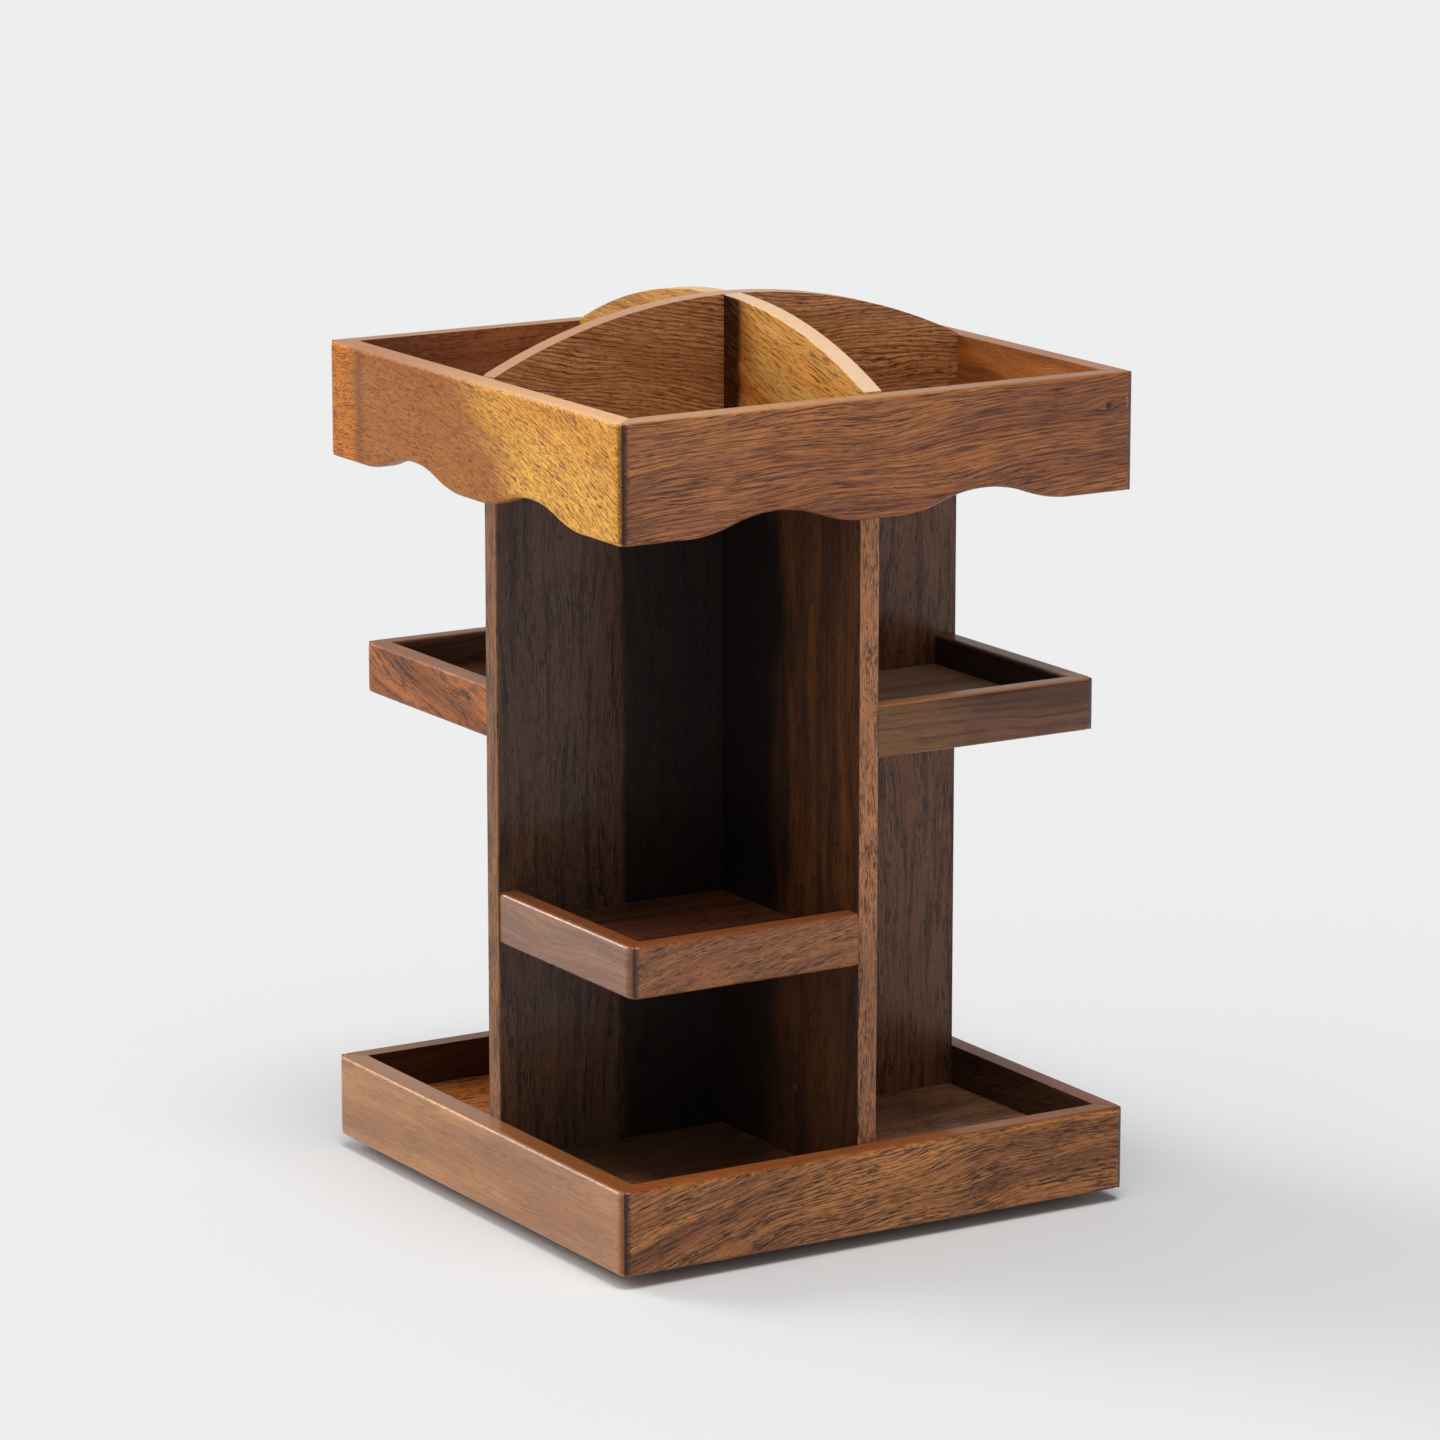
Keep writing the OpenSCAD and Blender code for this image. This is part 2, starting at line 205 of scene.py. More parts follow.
WOOD_ROUGHNESS = (0.37, 0.49)
WOOD_SPECULAR = 0.15
COAT_ROUGHNESS = 0.16
GRAIN_RELIEF = 0.00006
COAT_RELIEF = 0.00004
# Half the length over which the painted light on the upper faces changes colour
RIM_SPAN = 90
DUST_TONE = "d8b898"
# How far the place `slope` leans along the grain for each millimetre across it
SLOPE = -1.1


class Board:
    """The coordinates of one board in millimetres: place along x, y and z, and grain coordinates with
    `along` on the grain, `across` over the widest face and `depth` through the board. The place `slope`
    is along the grain from the board's middle, on a diagonal that leans forward towards the top."""

    def __init__(self, g, node, axis, seed):
        low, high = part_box(node)
        self.g = g
        self.seed = seed
        split = g.add("SeparateXYZ", Vector=g.add("TexCoord").outputs["Object"]).outputs
        self.place = {name: g.calc("MULTIPLY", split[i], 1 / MM) for i, name in enumerate("xyz")}
        others = [i for i in range(3) if i != "xyz".index(axis)]
        others.sort(key=lambda i: low[i] - high[i])
        order = [axis] + ["xyz"[i] for i in others]
        centre = {name: 0.5 / MM * (low[i] + high[i]) for i, name in enumerate("xyz")}
        self.along, self.across, self.depth = [g.calc("SUBTRACT", self.place[n], centre[n]) for n in order]
        self.flat_along, self.flat_across = self.along, self.across
        self.place["slope"] = g.calc("MULTIPLY_ADD", self.across, SLOPE, self.along)
        spread = [g.calc("MULTIPLY_ADD", self.place[n], 1.1, seed) for n in "xyz"]
        self.spot = g.combine(*spread)

    def reach(self, at, height):
        """Distance from a point on the board's face."""
        g = self.g
        du = g.calc("SUBTRACT", self.flat_along, at)
        dv = g.calc("SUBTRACT", self.flat_across, height)
        return g.calc("SQRT", g.total(g.product(du, du), g.product(dv, dv)))

    def field(self, length, width, salt, detail=2.0, roughness=0.5):
        """Noise whose spots are `length` by `width` millimetres along and across the grain. The salt keeps
        one field apart from the next."""
        g = self.g
        u = g.calc("MULTIPLY_ADD", self.along, 1 / length, self.seed + salt)
        v = g.calc("MULTIPLY_ADD", self.across, 1 / width, self.seed * 1.7 - salt)
        w = g.calc("MULTIPLY", self.depth, 1 / width)
        return g.noise(g.combine(u, v, w), detail, roughness)

    def bend(self, lean, curl, wave, knots):
        """Bends the grain: a lean in degrees, a curl in degrees per metre, waves in millimetres, and the
        swell around each knot."""
        g = self.g
        for at, height, radius in knots:
            du = g.calc("MULTIPLY", g.calc("SUBTRACT", self.along, at), 0.6)
            dv = g.calc("SUBTRACT", self.across, height)
            square = g.total(g.product(du, du), g.product(dv, dv), radius * radius)
            push = g.calc("DIVIDE", g.product(dv, -1.6 * radius * radius), square)
            self.across = g.total(self.across, push)
        slope = math.tan(math.radians(lean))
        turn = math.radians(curl) / 2000.0
        straight = g.calc("MULTIPLY_ADD", self.along, turn, slope)
        leaned = g.calc("SUBTRACT", self.across, g.product(self.along, straight))
        drift = g.calc("SUBTRACT", self.field(70, 28, 3.1, 1.0), 0.5)
        ripple = g.calc("SUBTRACT", self.field(16, 9, 7.7), 0.5)
        self.across = g.total(leaned, g.product(drift, 16.0 * wave), g.product(ripple, 1.6 * wave))


def zone_mask(g, board, zone):
    """One where a coordinate lies between two limits; noise wobbles the borders."""
    name, low, high, blur = zone
    wobble = g.calc("SUBTRACT", board.field(45, 14, 61.0), 0.5)
    at = g.calc("MULTIPLY_ADD", wobble, blur * 3.0, board.place[name])
    return g.product(g.smooth(at, low - blur, low + blur), g.smooth(at, high + blur, high - blur))


def ground_colour(g, board, tones, bands, cloudy, zones):
    """Broad soft bands of the three tones, with each zone's colour over them; some zones are painted shade or
    painted light.
    """
    light, middle, dark = tones
    colour = g.mix(g.smooth(bands[0], 0.36, 0.64), light, middle)
    colour = g.mix(g.smooth(bands[0], 0.52, 0.7, 0.0, bands[1]), colour, dark)
    colour = g.mix(g.smooth(cloudy, 0.35, 0.7, 0.0, 0.3), colour, middle)
    for *zone, tone, amount in zones:
        colour = g.mix(g.product(zone_mask(g, board, zone), amount), colour, linear(tone))
    return colour


def spots(g, board, colour, ink, knots, plugs):
    """Dark knots and the plugs that fill old holes."""
    for at, height, radius in knots:
        there = g.smooth(board.reach(at, height), radius * 1.2, radius * 0.4, 0.0, 0.85)
        colour = g.mix(there, colour, ink)
    for at, height, radius, tone in plugs:
        there = g.smooth(board.reach(at, height), radius * 1.15, radius * 0.8)
        colour = g.mix(there, colour, linear(tone))
    return colour


def painted_shade_light_and_dust(g, board, colour, axis, middle, streak, rim, corner, dust):
    """Painted shade and dark reflection on the rounded corners over their darker end grain, painted light on
    the upper faces, and specks of dust.
    """
    # Painted shade and dark reflection on the rounded corners, laid over their darker end grain
    if corner:
        tone, amount, low, high = corner
        ends = g.smooth(g.calc("ABSOLUTE", g.facing(axis)), low, high, 0.0, amount)
        colour = g.mix(ends, colour, linear(tone))
    # Painted light on the upper faces: the top coloured as lit, changing along the board
    if rim:
        tone = g.mix(g.smooth(board.flat_along, -RIM_SPAN, RIM_SPAN), linear(rim[0]), linear(rim[1]))
        tone = g.mix(g.smooth(streak, 0.45, 0.65, 0.0, 0.22), tone, middle)
        colour = g.mix(g.smooth(g.facing("z"), 0.5, 0.95, 0.0, rim[2]), colour, tone)
    if dust:
        colour = g.mix(g.smooth(g.noise(board.spot, 0.0), 0.83, 0.87, 0.0, dust), colour, linear(DUST_TONE))
    return colour


def lacquer(g, board, broad, fibre, holes, gloss):
    """A satin coat that the grain and the pores show through."""
    g.feed(g.shader.inputs["Roughness"], g.smooth(broad, 0.3, 0.7, *WOOD_ROUGHNESS))
    g.shader.inputs["Specular IOR Level"].default_value = WOOD_SPECULAR
    g.shader.inputs["Coat Weight"].default_value = gloss
    g.shader.inputs["Coat Roughness"].default_value = COAT_ROUGHNESS
    relief = g.calc("MULTIPLY_ADD", fibre, 0.4, g.product(holes, -1.0))
    g.feed(g.shader.inputs["Normal"], g.bump(relief, GRAIN_RELIEF))
    skin = board.field(9, 3, 71.0, 1.0)
    g.feed(g.shader.inputs["Coat Normal"], g.bump(g.calc("ADD", skin, relief), COAT_RELIEF))


def wood(node, axis, seed, tones, lean=0.0, curl=0.0, wave=1.0, bands=(9.0, 0.3), figure=(3.0, 0.3),
         dashes=(5.0, 0.7, 0.8), fleck=0.3, zones=(), knots=(), plugs=(), rim=None, corner=None,
         dust=0.0, even=0.15, sparse=0.48, gloss=0.35):
    """Lacquered hardwood for one board. Lengths are in millimetres.

    tones: light, middle and dark colour. lean, curl, wave: see Board.bend. bands: width and darkness of
    broad colour bands. figure: spacing and darkness of the year lines. dashes: length, thickness and
    darkness of the short open pores. fleck: darkness of the fine fibres. even: how strong the lines and
    pores are where they are weakest. sparse: how few pores there are, from 0.45 to 0.6. gloss: weight of
    the lacquer.
    zones: (place, low, high, blur, colour, amount) areas of another colour, the place x, y, z or slope; some
    are painted shade or painted light, marked where the boards are listed.
    knots: (along, across, radius). plugs: (along, across, radius, colour). rim: (colour at the low end,
    colour at the high end, amount) of the painted light on the upper faces, coloured as lit. corner:
    (colour, amount, from, to) painted shade and dark reflection on the rounded ends over their darker end
    grain, by how far they face along the grain. dust: how bright the specks are."""
    g = Graph("wood_" + node)
    board = Board(g, node, axis, seed)
    board.bend(lean, curl, wave, knots)
    light, middle, dark = [linear(tone) for tone in tones]
    ink = [channel * 0.45 for channel in dark[:3]] + [1]

    broad = board.field(150, bands[0], 11.0, 3.0, 0.55)
    cloudy = board.field(34, 15, 31.0, 2.0)
    clumps = board.field(28, 5, 37.0, 2.0)
    fibre = board.field(30, 0.5, 41.0, 2.0, 0.6)
    streak = board.field(dashes[0], dashes[1], 23.0, 2.0, 0.6)
    pore = board.field(dashes[0] * 0.45, dashes[1] * 0.8, 53.0, 1.0)

    colour = ground_colour(g, board, (light, middle, dark), (broad, bands[1]), cloudy, zones)
    swing = g.calc("MULTIPLY_ADD", board.across, 2 * math.pi / figure[0], g.product(broad, 21.0))
    lines = g.smooth(g.calc("SINE", swing), 0.1, 0.95)
    patchy = g.smooth(clumps, 0.32, 0.6, even, 1.0)
    colour = g.mix(g.product(lines, patchy, figure[1]), colour, dark)
    cut = g.product(g.smooth(streak, sparse, sparse + 0.11), patchy)
    colour = g.mix(g.product(cut, dashes[2]), colour, dark)
    colour = g.mix(g.smooth(fibre, 0.3, 0.75, 0.0, fleck), colour, dark)
    holes = g.smooth(pore, 0.59, 0.67)
    colour = g.mix(g.product(holes, dashes[2] * 0.7), colour, ink)
    colour = spots(g, board, colour, ink, knots, plugs)
    colour = painted_shade_light_and_dust(g, board, colour, axis, middle, streak, rim, corner, dust)
    g.feed(g.shader.inputs["Base Color"], colour)
    lacquer(g, board, broad, fibre, holes, gloss)
    return g.material


# Light, middle and dark colour of each kind of wood
GOLD = ("ffbe4c", "f0a436", "7c3e1c")
AMBER = ("c07430", "a4602c", "4a2412")
BROWN = ("b46a36", "925430", "38201c")
CINNAMON = ("aa6a38", "925a32", "3c221a")
FIGURED = ("c88444", "a2643a", "2c1a14")
UMBER = ("7e5636", "684628", "24140f")
RUSSET = ("9c5c30", "84502c", "381c10")
ESPRESSO = ("54362a", "402a20", "140d0a")

# Painted light on the upper faces: the top coloured as lit at the low and the high end, and its amount
RIM = ("b88458", "b88458", 0.85)
RED_RIM = ("8e461a", "8a481e", 0.75)
PINK_RIM = ("b87e58", "b87e58", 0.8)

# Painted shade and dark reflection on the rounded corners, over their darker end grain: colour, amount, and
# the facings where it starts and is full
DARK_END_GRAIN_AND_SHADE = ("1c0c07", 0.92, 0.15, 0.62)
WARM_END_GRAIN_AND_SHADE = ("6a3416", 0.75, 0.3, 0.62)

# Each rim is painted light on the upper faces; each corner is painted shade over darker end grain
BOARDS = {
    "base_front_rail": dict(axis="x", seed=2.0, tones=FIGURED, lean=8, curl=-90, wave=0.8, bands=(9, 0.3),
                            figure=(2.4, 0.5), dashes=(8, 0.55, 0.9), even=0.4, rim=RED_RIM,
                            corner=DARK_END_GRAIN_AND_SHADE, zones=[("x", -30, 40, 20, "dc9450", 0.4)]),
    "base_right_rail": dict(axis="y", seed=5.0, tones=("7c5a44", "5e4434", "2c1c16"), rim=RED_RIM),
    "base_back_rail": dict(axis="x", seed=7.0, tones=("5a3424", "44281c", "20120e"),
                           rim=("ac784c", "9c6438", 0.7), dashes=(6, 0.5, 0.4)),
    "base_left_rail": dict(axis="y", seed=9.0, tones=("cc8e50", "ae743e", "5c3824"), bands=(14, 0.15),
                           figure=(4, 0.12), wave=0.6, dashes=(7, 0.55, 0.35), fleck=0.35, gloss=0.6,
                           rim=("804016", "a8744a", 0.8), corner=WARM_END_GRAIN_AND_SHADE,
                           zones=[("y", -125, -20, 40, "986440", 0.5)]),
    # Painted shade: the dark zone from x -80 to 0 beside the column under the shelves. Painted light: the
    # orange strips along the left and front rails.
    "base_floor": dict(axis="x", seed=11.0, dust=0.5, tones=("bc8460", "a07050", "4c3020"),
                       zones=[("x", -80, 0, 14, "3c2410", 0.75), ("y", 0, 103, 4, "f08c3c", 0.95),
                              ("x", -103, -86, 7, "b4601c", 0.8), ("y", -103, -86, 7, "b4601c", 0.8)]),
    "column_main_panel": dict(axis="z", seed=13.0, tones=("62442f", "4c3222", "120b09"), dashes=(7, 0.5, 0.8),
                              figure=(5, 0.5), wave=0.7, knots=[(-100, -40, 3.0)],
                              zones=[("x", -103, -48, 2, "684836", 0.6), ("x", -48, 8, 2, "1c1514", 0.92),
                                     ("x", 8, 60, 8, "4c3226", 0.6), ("x", 60, 103, 8, "905e42", 0.75),
                                     ("x", -103, -101.8, 0.2, "9a602c", 1.0)]),
    # Painted shade: the near-black zone from y -50 to 10 darkens the inner corner beside the main panel
    "column_front_panel": dict(axis="z", seed=17.0, tones=("70421f", "4a2a16", "150b07"), wave=0.8,
                               dashes=(6, 0.5, 0.8), bands=(12, 0.5), plugs=[(-105, -4.5, 1.1, "5a4a36")],
                               zones=[("y", -50, 10, 14, "080504", 0.98),
                                      ("y", -103, -101.8, 0.2, "c08054", 1.0),
                                      ("z", 15, 110, 16, "402c24", 0.3)]),
    "column_back_panel": dict(axis="z", seed=19.0, tones=ESPRESSO, wave=0.5),
    "front_left_shelf_front_rail": dict(axis="x", seed=21.0, tones=("b4723e", "9a5e36", "3c221a"), lean=14,
                                        curl=-80, wave=0.8, dashes=(7, 0.5, 0.95), figure=(4, 0.3),
                                        rim=RED_RIM, gloss=0.6, corner=DARK_END_GRAIN_AND_SHADE),
    "front_left_shelf_side_rail": dict(axis="y", seed=23.0, tones=CINNAMON, dashes=(5, 0.5, 0.3), gloss=0.9,
                                       wave=0.7, rim=RED_RIM, corner=WARM_END_GRAIN_AND_SHADE),
    "front_left_shelf_floor": dict(axis="x", seed=25.0, dust=0.5, tones=("8c5034", "6c3e28", "2c1810")),
    "front_right_shelf_front_rail": dict(axis="x", seed=27.0, tones=("80523a", "643e2a", "281610"), gloss=0.4,
                                         wave=0.7, figure=(5, 0.45), dashes=(9, 0.5, 0.3), rim=PINK_RIM,
                                         corner=DARK_END_GRAIN_AND_SHADE, zones=[("x", -10, 40, 10, "8c6236", 0.5)]),
    "front_right_shelf_side_rail": dict(axis="y", seed=29.0, tones=("4c3a32", "3c2e28", "1c1412"),
                                        rim=PINK_RIM, dashes=(6, 0.5, 0.3)),
    # Painted light: pale tones that stand in for the light and sheen on this shaded shelf floor
    "front_right_shelf_floor": dict(axis="x", seed=31.0, tones=("fcd8b8", "e4bc9c", "8c7058"),
                                    dashes=(6, 0.5, 0.3)),
    "back_right_shelf_back_rail": dict(axis="x", seed=33.0, tones=BROWN, rim=RED_RIM),
    "back_right_shelf_side_rail": dict(axis="y", seed=35.0, tones=AMBER, rim=RED_RIM),
    "back_right_shelf_floor": dict(axis="x", seed=37.0, tones=RUSSET),
    "back_left_shelf_back_rail": dict(axis="x", seed=39.0, tones=("9c765e", "82604c", "402c22"), rim=PINK_RIM,
                                      dashes=(6, 0.5, 0.3)),
    "back_left_shelf_side_rail": dict(axis="y", seed=41.0, tones=("c8742a", "a65a1e", "40200f"), lean=16,
                                      wave=0.8, dashes=(8, 0.6, 0.95), figure=(4, 0.35), rim=PINK_RIM,
                                      gloss=0.15),
    "back_left_shelf_floor": dict(axis="x", seed=43.0, tones=("a06c50", "84583c", "402818")),
    "top_front_rail": dict(axis="x", seed=45.0, tones=("c87c42", "9c5a34", "38201e"), lean=3, curl=10,
                           wave=0.7, bands=(10, 0.2), dashes=(13, 0.42, 0.8), figure=(1.9, 0.45), even=0.5,
                           zones=[("x", -115, -60, 15, "d08c54", 0.3), ("x", 50, 120, 20, "8a5030", 0.35)],
                           knots=[(99, 10.5, 1.7)],
                           plugs=[(107.4, 12.8, 0.45, "8c9294"), (107.8, 11.3, 0.4, "8c9294"),
                                  (107.5, 9.9, 0.4, "848a8c")],
                           rim=("d4a274", "a06a40", 0.85), corner=DARK_END_GRAIN_AND_SHADE),
    "top_right_rail": dict(axis="y", seed=47.0, tones=("e08840", "b86a30", "5a2e14"), lean=3, wave=1.2,
                           dashes=(6, 0.5, 0.25), figure=(5, 0.15), sparse=0.54,
                           rim=("a06c44", "b07c5c", 0.85)),
    "top_back_rail": dict(axis="x", seed=49.0, tones=("c0784e", "9a5c3e", "40261a"), wave=0.6,
                          dashes=(4, 0.5, 0.6), rim=RIM),
    "top_left_rail": dict(axis="y", seed=51.0, tones=GOLD, lean=14, curl=-160, wave=0.6, bands=(20, 0.1),
                          dashes=(4.5, 0.55, 0.95), figure=(3, 0.15), gloss=0.06, even=0.6, sparse=0.495,
                          rim=("ecbe90", "b88464", 0.85),
                          zones=[("slope", -20, 160, 22, "96480f", 0.75), ("y", 83, 88, 3, "6e3a14", 0.5),
                                 ("y", 90, 120, 4, "e08200", 0.9)],
                          corner=WARM_END_GRAIN_AND_SHADE),
    "top_floor": dict(axis="x", seed=53.0, tones=RUSSET),
    "long_divider": dict(axis="x", seed=55.0, tones=("eea468", "d08a54", "4a2a1c"), lean=-6, curl=80,
                         wave=0.9, bands=(12, 0.1), figure=(1.7, 0.6), dashes=(7, 0.45, 0.75), even=0.6,
                         sparse=0.5, rim=("c49474", "d0a07c", 0.85)),
    # Painted shadow: the black strip and the orange band near the crossing are the long divider's shadow and
    # its soft edge
    "front_divider": dict(axis="y", seed=57.0, tones=("ffc468", "ffac4c", "7c4018"), lean=14, curl=90,
                          wave=0.6, dashes=(9, 0.55, 0.9), figure=(2.4, 0.15), even=0.6, sparse=0.53,
                          rim=("f4d8bc", "ecc49c", 0.9), gloss=0.1,
                          zones=[("y", -20, 10, 8, "a4501a", 0.7), ("y", -15.5, 10, 2.2, "060302", 1.0)]),
    "back_divider": dict(axis="y", seed=59.0, tones=GOLD, dashes=(6, 0.5, 0.8), figure=(3, 0.4), wave=0.6,
                         sparse=0.51, rim=("e8bc88", "e4b078", 0.85)),
    "foot_disc": dict(axis="x", seed=61.0, tones=UMBER),
}


# --- Metal, nylon and rubber ------------------------------------------------

SCRATCH_RELIEF = 0.00001
PORE_RELIEF = 0.00003
MOULDED_SPECULAR = 0.4


def plated(node, tones, rough):
    """Plated steel: long fine scratches, cloudy plating and small pits. tones: fresh, dull and pitted."""
    g = Graph("plated_" + node)
    scratch = g.stretched((150, 5200, 5200), 3.0, 0.7)
    cloud = g.stretched((70, 90, 80), 3.0, 0.6)
    pits = g.smooth(g.stretched((1400, 1400, 1400), 1.0), 0.64, 0.72)
    colour = g.mix(g.smooth(cloud, 0.35, 0.7), linear(tones[0]), linear(tones[1]))
    colour = g.mix(g.product(pits, 0.5), colour, linear(tones[2]))
    wear = g.product(g.smooth(scratch, 0.3, 0.7), g.smooth(cloud, 0.3, 0.6, 0.5, 1.0))
    g.feed(g.shader.inputs["Base Color"], colour)
    g.shader.inputs["Metallic"].default_value = 1.0
    g.feed(g.shader.inputs["Roughness"], g.calc("MULTIPLY_ADD", wear, 0.16, rough))
    relief = g.calc("MULTIPLY_ADD", scratch, 0.5, g.product(pits, -1.0))
    g.feed(g.shader.inputs["Normal"], g.bump(relief, SCRATCH_RELIEF))
    return g.material


def moulded(node, tones, rough):
    """Moulded nylon or rubber: flow marks, pores and dust that sits in them. tones: face, flow and dust."""
    g = Graph("moulded_" + node)
    flow = g.stretched((50, 50, 400), 2.0)
    pores = g.smooth(g.stretched((2600, 2600, 2600), 2.0), 0.5, 0.7)
    dust = g.product(g.smooth(g.stretched((120, 120, 120), 3.0), 0.45, 0.75), pores)
    colour = g.mix(g.smooth(flow, 0.35, 0.65), linear(tones[0]), linear(tones[1]))
    colour = g.mix(g.product(dust, 0.55), colour, linear(tones[2]))
    g.feed(g.shader.inputs["Base Color"], colour)
    g.feed(g.shader.inputs["Roughness"], g.calc("MULTIPLY_ADD", pores, 0.15, rough))
    g.shader.inputs["Specular IOR Level"].default_value = MOULDED_SPECULAR
    g.feed(g.shader.inputs["Normal"], g.bump(g.product(pores, -1.0), PORE_RELIEF))
    return g.material


# Fresh, dull and pitted colour of each metal
ZINC = ("bcbfc3", "a4a39f", "5c564e")
YELLOW_ZINC = ("d2c28c", "b8ac8c", "6c5e46")
BRIGHT_STEEL = ("d4d6d8", "c0c2c5", "86847f")
GREY_STEEL = ("a09e9a", "827e78", "4c463e")

# Maker, tones, roughness and edge radius in millimetres
FITTINGS = {
    "rubber_pads": (moulded, ("2a2a2d", "1c1c1f", "5c5852"), 0.7, 0.8),
    "bearing_cage": (moulded, ("e8e1cc", "d8cfb6", "9c937e"), 0.4, 0.1),
    "bearing_lower_plate": (plated, ZINC, 0.32, 0.2),
    "bearing_upper_plate": (plated, ZINC, 0.34, 0.2),
    "bearing_balls": (plated, BRIGHT_STEEL, 0.08, 0.02),
    "lower_plate_screws": (plated, YELLOW_ZINC, 0.28, 0.15),
    "upper_plate_screws": (plated, YELLOW_ZINC, 0.28, 0.15),
    "column_lower_screws": (plated, YELLOW_ZINC, 0.3, 0.12),
    "column_upper_screws": (plated, YELLOW_ZINC, 0.3, 0.12),
    "shelf_brads": (plated, GREY_STEEL, 0.38, 0.1),
    "divider_brads": (plated, GREY_STEEL, 0.38, 0.1),
}


# --- Softened edges ---------------------------------------------------------

SAME_POINT = 0.01 * MM
JOINT_TOLERANCE = 0.12 * MM
SHARP_EDGE = math.radians(32)
FLAT_FACES = math.radians(0.4)

# Planes where boards meet: each a normal and a distance, with the millimetres that place them
MITRE = ((1, -1, 0), 0.0)
BOARD_SIDE = 4
TRAY_INSIDE = 102.5
COLUMN_FOOT = 22
COLUMN_TOP = 286


class EdgeGraph:
    """Short calls that add nodes to a new geometry group."""

    def __init__(self, name):
        self.group = bpy.data.node_groups.new(name, "GeometryNodeTree")
        self.group.interface.new_socket("Geometry", in_out="INPUT", socket_type="NodeSocketGeometry")
        self.group.interface.new_socket("Geometry", in_out="OUTPUT", socket_type="NodeSocketGeometry")
        self.add = self.group.nodes.new
        self.link = self.group.links.new

    def calc(self, operation, a, b=0.0, c=0.0):
        node = self.add("ShaderNodeMath")
        node.operation = operation
        for socket, value in zip(node.inputs, (a, b, c)):
            if isinstance(value, bpy.types.NodeSocket):
                self.link(value, socket)
            else:
                socket.default_value = value
        return node.outputs[0]

    def vector(self, operation, source, other=None):
        """A vector operation on a socket and, if given, a fixed vector."""
        node = self.add("ShaderNodeVectorMath")
        node.operation = operation
        self.link(source, node.inputs[0])
        if other is not None:
            node.inputs[1].default_value = other
        return node.outputs

    def chain(self, *steps):
        """Runs the geometry through nodes one after another, from the group's input to its output."""
        source = self.add("NodeGroupInput").outputs[0]
        for step in steps:
            self.link(source, step.inputs["Geometry"])
            source = step.outputs["Geometry"]
        self.link(source, self.add("NodeGroupOutput").inputs[0])


def on_joints(e, joints):
    """One on an edge with both ends in a joint's plane or in its mirror image, or None without joints."""
    ends = e.add("GeometryNodeInputMeshEdgeVertices")
    corners = [e.vector("ABSOLUTE", ends.outputs[name])[0] for name in ("Position 1", "Position 2")]
    found = None
    for normal, distance in joints:
        gaps = []
        for corner in corners:
            reach = e.vector("DOT_PRODUCT", corner, normal)["Value"]
            gaps.append(e.calc("ABSOLUTE", e.calc("SUBTRACT", reach, distance)))
        here = e.calc("LESS_THAN", e.calc("MAXIMUM", *gaps), JOINT_TOLERANCE)
        found = here if found is None else e.calc("MAXIMUM", found, here)
    return found


def edge_weights(name, joints, inner):
    """Weighs each edge for the bevel: full on a free edge, `inner` on an edge that lies in a joint's plane,
    none on a gentle one."""
    e = EdgeGraph(name)
    angle = e.add("GeometryNodeInputMeshEdgeAngle").outputs["Unsigned Angle"]
    weight = e.calc("GREATER_THAN", angle, SHARP_EDGE)
    found = on_joints(e, joints)
    if found is not None:
        weight = e.calc("MULTIPLY", weight, e.calc("MULTIPLY_ADD", found, inner - 1, 1.0))
    drop = e.add("GeometryNodeRemoveAttribute")
    drop.inputs["Name"].default_value = "custom_normal"
    store = e.add("GeometryNodeStoreNamedAttribute")
    store.data_type = "FLOAT"
    store.domain = "EDGE"
    store.inputs["Name"].default_value = "bevel_weight_edge"
    e.link(weight, store.inputs["Value"])
    e.chain(drop, store, e.add("GeometryNodeSetShadeSmooth"))
    return e.group


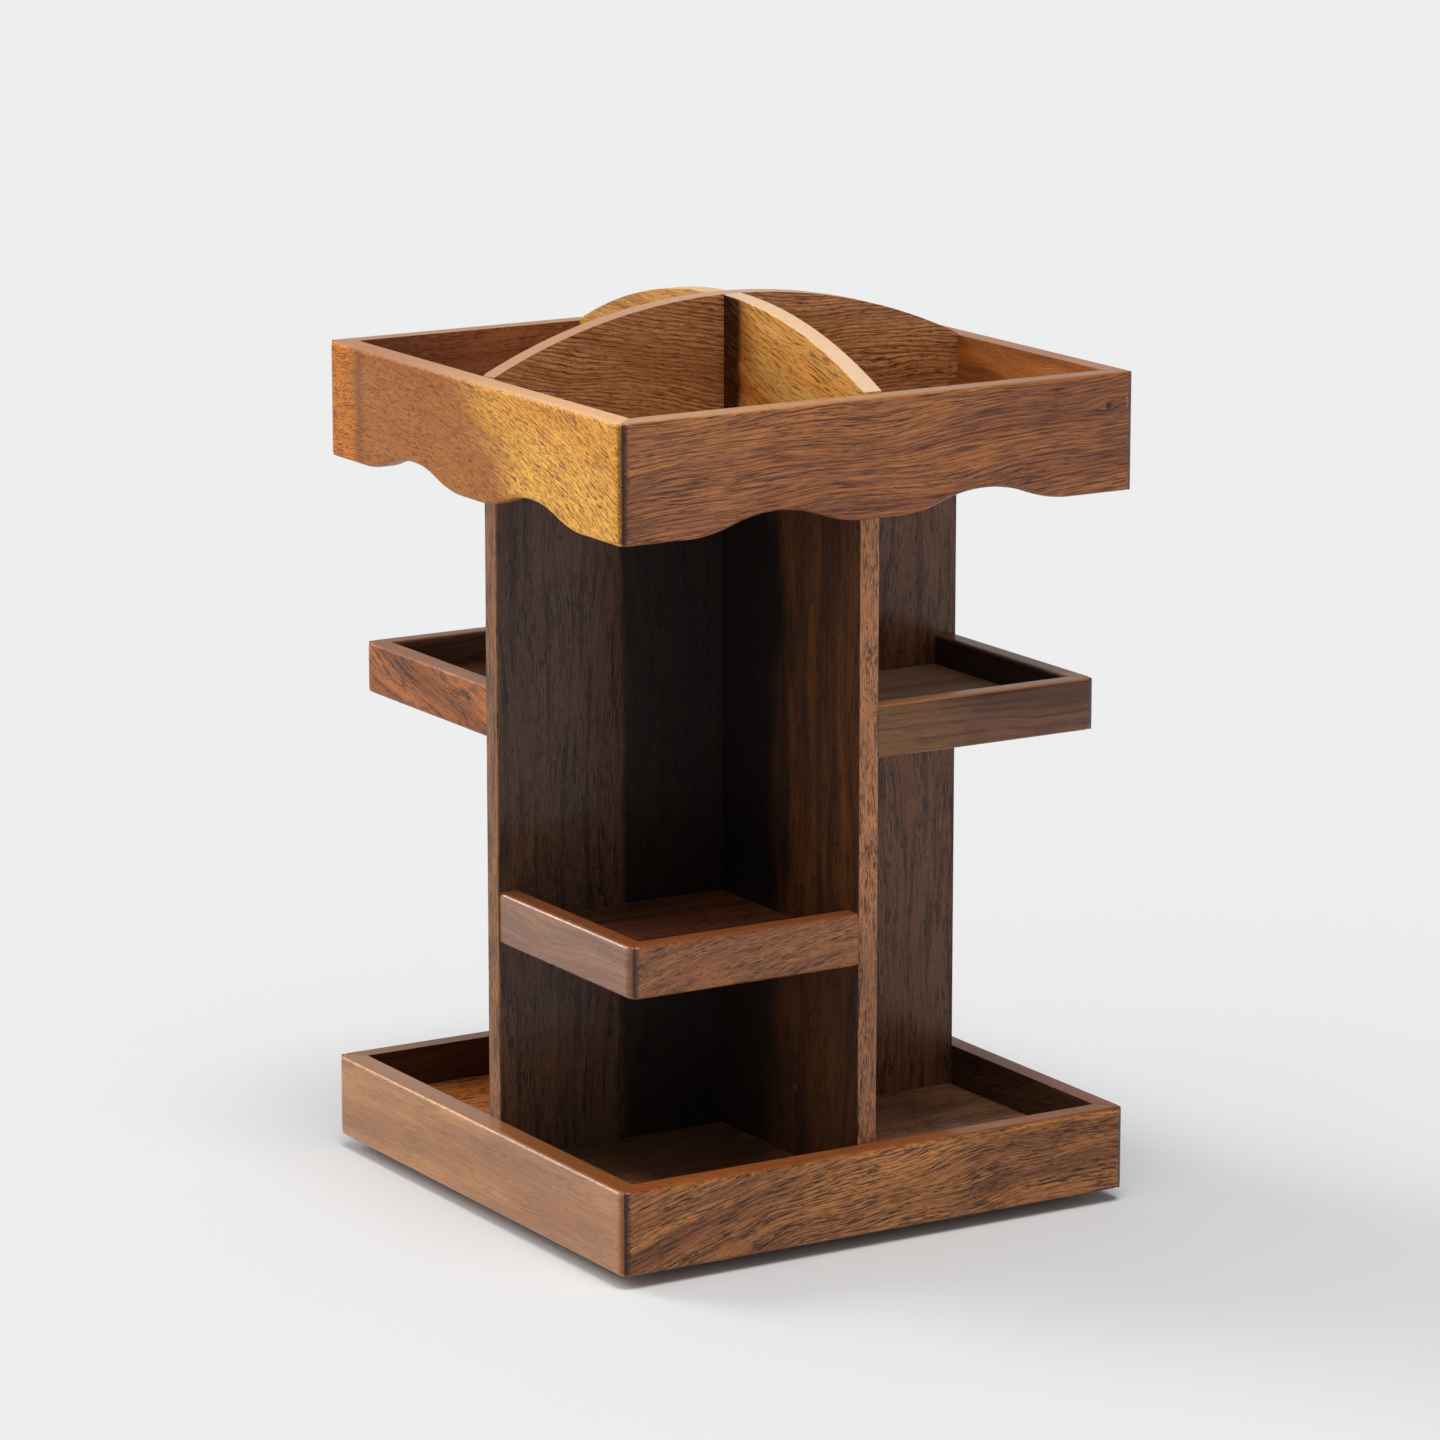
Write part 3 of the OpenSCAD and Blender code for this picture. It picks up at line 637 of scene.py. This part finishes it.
def soften(node, radius, joints=(), joint_radius=0.12, segments=3):
    """Rounds a part's free edges to a radius in millimetres, and barely breaks the edges at its joints."""
    o = nodes[node]
    weld = o.modifiers.new("weld", "WELD")
    weld.merge_threshold = SAME_POINT
    flat = o.modifiers.new("flat", "DECIMATE")
    flat.decimate_type = "DISSOLVE"
    flat.angle_limit = FLAT_FACES
    weigh = o.modifiers.new("weigh", "NODES")
    weigh.node_group = edge_weights("edges_" + node, joints, joint_radius / radius)
    bevel = o.modifiers.new("bevel", "BEVEL")
    bevel.width = radius * MM
    bevel.segments = segments
    bevel.limit_method = "WEIGHT"
    bevel.use_clamp_overlap = True
    bevel.miter_outer = "MITER_ARC"
    normals = o.modifiers.new("normals", "WEIGHTED_NORMAL")
    normals.mode = "FACE_AREA_WITH_ANGLE"
    normals.keep_sharp = False


def level(z):
    """The plane at a height in millimetres."""
    return ((0, 0, 1), z * MM)


def side_x(x):
    """The plane square to x at a distance in millimetres."""
    return ((1, 0, 0), x * MM)


def side_y(y):
    """The plane square to y at a distance in millimetres."""
    return ((0, 1, 0), y * MM)


def paint(node, material):
    """Gives a part its one material."""
    slots = nodes[node].data.materials
    slots.clear()
    slots.append(material)


def soften_board(name):
    """Rounds a board by its kind. The rails of trays and shelves are rounder than panels and floors."""
    if name.startswith(("base_", "top_")) and name.endswith("rail"):
        soften(name, 2.0, [MITRE], segments=4)
    elif name.endswith("divider"):
        soften(name, 0.9, [side_y(BOARD_SIDE), side_y(TRAY_INSIDE), side_x(TRAY_INSIDE)])
    elif name.endswith("panel"):
        soften(name, 0.8, [side_y(BOARD_SIDE), level(COLUMN_FOOT), level(COLUMN_TOP)])
    elif name.endswith("floor"):
        soften(name, 0.15)
    elif "shelf" in name:
        soften(name, 1.8, [MITRE, side_x(BOARD_SIDE), side_y(BOARD_SIDE)], segments=4)
    else:
        soften(name, 0.8)


for name, look in BOARDS.items():
    paint(name, wood(name, **look))
    soften_board(name)

for name, (maker, tones, rough, radius) in FITTINGS.items():
    paint(name, maker(name, tones, rough))
    soften(name, radius)

studio()
floor()
camera()
